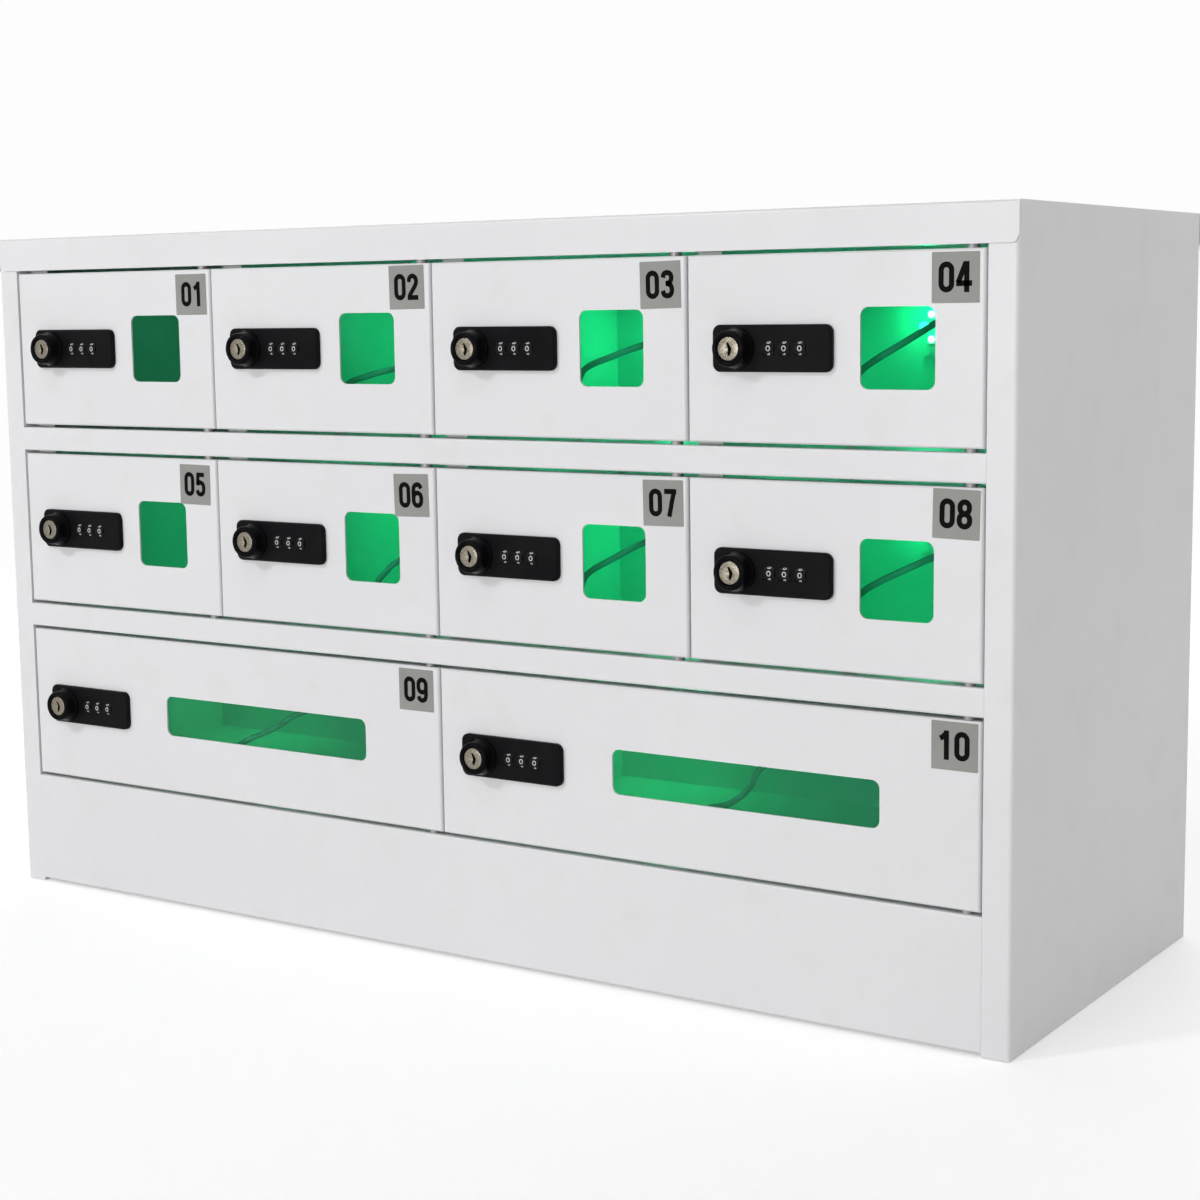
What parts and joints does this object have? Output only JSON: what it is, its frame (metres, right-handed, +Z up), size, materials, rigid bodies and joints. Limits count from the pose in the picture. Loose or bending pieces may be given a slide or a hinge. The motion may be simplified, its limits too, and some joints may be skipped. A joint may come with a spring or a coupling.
{
  "type": "phone locker box",
  "caption": "Sheet-steel cabinet of small lockable, lit phone charging compartments, each with a windowed door, wheel lock and key knob.",
  "frame": {"origin": "middle of the whole object's footprint, on the surface it stands on", "axes": "+X to the right as seen from the doors, +Y towards the back, +Z up; the doors face -Y"},
  "size_m": [0.7, 0.272, 0.42],
  "materials": {
    "powder_coat": "satin white powder coat",
    "clear_pane": "clear, tinted green",
    "lock_black": "satin black",
    "knob_black": "satin black, nickel key cylinder",
    "wheel_black": "satin black with white digits",
    "pin_steel": "zinc plated",
    "charger_black": "textured black",
    "light_board": "lit green",
    "lead_grey": "matte grey sheath"
  },
  "bodies": {
    "cabinet": {"side_panels": "powder_coat", "top_panel": "powder_coat", "base_panel": "powder_coat", "shelves": "powder_coat", "partitions": "powder_coat", "back_cover": "powder_coat", "hinge_pins": "pin_steel", "charger": "charger_black", "led_modules": "light_board", "charge_leads": "lead_grey"},
    "door_01_leaf": {"door_01": "powder_coat", "window_01": "clear_pane", "lock_case_01": "lock_black"},
    "knob_01": {"lock_knob_01": "knob_black"},
    "wheels_01": {"lock_dials_01": "wheel_black"},
    "door_02_leaf": {"door_02": "powder_coat", "window_02": "clear_pane", "lock_case_02": "lock_black"},
    "knob_02": {"lock_knob_02": "knob_black"},
    "wheels_02": {"lock_dials_02": "wheel_black"},
    "door_03_leaf": {"door_03": "powder_coat", "window_03": "clear_pane", "lock_case_03": "lock_black"},
    "knob_03": {"lock_knob_03": "knob_black"},
    "wheels_03": {"lock_dials_03": "wheel_black"},
    "door_04_leaf": {"door_04": "powder_coat", "window_04": "clear_pane", "lock_case_04": "lock_black"},
    "knob_04": {"lock_knob_04": "knob_black"},
    "wheels_04": {"lock_dials_04": "wheel_black"},
    "door_05_leaf": {"door_05": "powder_coat", "window_05": "clear_pane", "lock_case_05": "lock_black"},
    "knob_05": {"lock_knob_05": "knob_black"},
    "wheels_05": {"lock_dials_05": "wheel_black"},
    "door_06_leaf": {"door_06": "powder_coat", "window_06": "clear_pane", "lock_case_06": "lock_black"},
    "knob_06": {"lock_knob_06": "knob_black"},
    "wheels_06": {"lock_dials_06": "wheel_black"},
    "door_07_leaf": {"door_07": "powder_coat", "window_07": "clear_pane", "lock_case_07": "lock_black"},
    "knob_07": {"lock_knob_07": "knob_black"},
    "wheels_07": {"lock_dials_07": "wheel_black"},
    "door_08_leaf": {"door_08": "powder_coat", "window_08": "clear_pane", "lock_case_08": "lock_black"},
    "knob_08": {"lock_knob_08": "knob_black"},
    "wheels_08": {"lock_dials_08": "wheel_black"},
    "door_09_leaf": {"door_09": "powder_coat", "window_09": "clear_pane", "lock_case_09": "lock_black"},
    "knob_09": {"lock_knob_09": "knob_black"},
    "wheels_09": {"lock_dials_09": "wheel_black"},
    "door_10_leaf": {"door_10": "powder_coat", "window_10": "clear_pane", "lock_case_10": "lock_black"},
    "knob_10": {"lock_knob_10": "knob_black"},
    "wheels_10": {"lock_dials_10": "wheel_black"}
  },
  "joints": [
    {"name": "door_01_hinge", "type": "hinge", "parent": "cabinet", "child": "door_01_leaf", "pos_m": [-0.176, -0.1195, 0.3002], "axis": [0, 0, 1], "range_deg": [0, 110]},
    {"name": "door_02_hinge", "type": "hinge", "parent": "cabinet", "child": "door_02_leaf", "pos_m": [-0.009, -0.1195, 0.3002], "axis": [0, 0, 1], "range_deg": [0, 110]},
    {"name": "door_03_hinge", "type": "hinge", "parent": "cabinet", "child": "door_03_leaf", "pos_m": [0.158, -0.1195, 0.3002], "axis": [0, 0, 1], "range_deg": [0, 110]},
    {"name": "door_04_hinge", "type": "hinge", "parent": "cabinet", "child": "door_04_leaf", "pos_m": [0.325, -0.1195, 0.3002], "axis": [0, 0, 1], "range_deg": [0, 110]},
    {"name": "door_05_hinge", "type": "hinge", "parent": "cabinet", "child": "door_05_leaf", "pos_m": [-0.176, -0.1195, 0.1858], "axis": [0, 0, 1], "range_deg": [0, 110]},
    {"name": "door_06_hinge", "type": "hinge", "parent": "cabinet", "child": "door_06_leaf", "pos_m": [-0.009, -0.1195, 0.1858], "axis": [0, 0, 1], "range_deg": [0, 110]},
    {"name": "door_07_hinge", "type": "hinge", "parent": "cabinet", "child": "door_07_leaf", "pos_m": [0.158, -0.1195, 0.1858], "axis": [0, 0, 1], "range_deg": [0, 110]},
    {"name": "door_08_hinge", "type": "hinge", "parent": "cabinet", "child": "door_08_leaf", "pos_m": [0.325, -0.1195, 0.1858], "axis": [0, 0, 1], "range_deg": [0, 110]},
    {"name": "door_09_hinge", "type": "hinge", "parent": "cabinet", "child": "door_09_leaf", "pos_m": [-0.009, -0.1195, 0.0714], "axis": [0, 0, 1], "range_deg": [0, 110]},
    {"name": "door_10_hinge", "type": "hinge", "parent": "cabinet", "child": "door_10_leaf", "pos_m": [0.325, -0.1195, 0.0714], "axis": [0, 0, 1], "range_deg": [0, 110]},
    {"name": "knob_01_turn", "type": "hinge", "parent": "door_01_leaf", "child": "knob_01", "pos_m": [-0.303, -0.124, 0.3504], "axis": [0, 1, 0], "range_deg": [0, 90]},
    {"name": "knob_02_turn", "type": "hinge", "parent": "door_02_leaf", "child": "knob_02", "pos_m": [-0.136, -0.124, 0.3504], "axis": [0, 1, 0], "range_deg": [0, 90]},
    {"name": "knob_03_turn", "type": "hinge", "parent": "door_03_leaf", "child": "knob_03", "pos_m": [0.031, -0.124, 0.3504], "axis": [0, 1, 0], "range_deg": [0, 90]},
    {"name": "knob_04_turn", "type": "hinge", "parent": "door_04_leaf", "child": "knob_04", "pos_m": [0.198, -0.124, 0.3504], "axis": [0, 1, 0], "range_deg": [0, 90]},
    {"name": "knob_05_turn", "type": "hinge", "parent": "door_05_leaf", "child": "knob_05", "pos_m": [-0.303, -0.124, 0.236], "axis": [0, 1, 0], "range_deg": [0, 90]},
    {"name": "knob_06_turn", "type": "hinge", "parent": "door_06_leaf", "child": "knob_06", "pos_m": [-0.136, -0.124, 0.236], "axis": [0, 1, 0], "range_deg": [0, 90]},
    {"name": "knob_07_turn", "type": "hinge", "parent": "door_07_leaf", "child": "knob_07", "pos_m": [0.031, -0.124, 0.236], "axis": [0, 1, 0], "range_deg": [0, 90]},
    {"name": "knob_08_turn", "type": "hinge", "parent": "door_08_leaf", "child": "knob_08", "pos_m": [0.198, -0.124, 0.236], "axis": [0, 1, 0], "range_deg": [0, 90]},
    {"name": "knob_09_turn", "type": "hinge", "parent": "door_09_leaf", "child": "knob_09", "pos_m": [-0.303, -0.124, 0.1216], "axis": [0, 1, 0], "range_deg": [0, 90]},
    {"name": "knob_10_turn", "type": "hinge", "parent": "door_10_leaf", "child": "knob_10", "pos_m": [0.031, -0.124, 0.1216], "axis": [0, 1, 0], "range_deg": [0, 90]},
    {"name": "wheels_01_spin", "type": "hinge", "parent": "door_01_leaf", "child": "wheels_01", "pos_m": [-0.275, -0.1214, 0.3504], "axis": [1, 0, 0], "continuous": true},
    {"name": "wheels_02_spin", "type": "hinge", "parent": "door_02_leaf", "child": "wheels_02", "pos_m": [-0.108, -0.1214, 0.3504], "axis": [1, 0, 0], "continuous": true},
    {"name": "wheels_03_spin", "type": "hinge", "parent": "door_03_leaf", "child": "wheels_03", "pos_m": [0.059, -0.1214, 0.3504], "axis": [1, 0, 0], "continuous": true},
    {"name": "wheels_04_spin", "type": "hinge", "parent": "door_04_leaf", "child": "wheels_04", "pos_m": [0.226, -0.1214, 0.3504], "axis": [1, 0, 0], "continuous": true},
    {"name": "wheels_05_spin", "type": "hinge", "parent": "door_05_leaf", "child": "wheels_05", "pos_m": [-0.275, -0.1214, 0.236], "axis": [1, 0, 0], "continuous": true},
    {"name": "wheels_06_spin", "type": "hinge", "parent": "door_06_leaf", "child": "wheels_06", "pos_m": [-0.108, -0.1214, 0.236], "axis": [1, 0, 0], "continuous": true},
    {"name": "wheels_07_spin", "type": "hinge", "parent": "door_07_leaf", "child": "wheels_07", "pos_m": [0.059, -0.1214, 0.236], "axis": [1, 0, 0], "continuous": true},
    {"name": "wheels_08_spin", "type": "hinge", "parent": "door_08_leaf", "child": "wheels_08", "pos_m": [0.226, -0.1214, 0.236], "axis": [1, 0, 0], "continuous": true},
    {"name": "wheels_09_spin", "type": "hinge", "parent": "door_09_leaf", "child": "wheels_09", "pos_m": [-0.275, -0.1214, 0.1216], "axis": [1, 0, 0], "continuous": true},
    {"name": "wheels_10_spin", "type": "hinge", "parent": "door_10_leaf", "child": "wheels_10", "pos_m": [0.059, -0.1214, 0.1216], "axis": [1, 0, 0], "continuous": true}
  ]
}
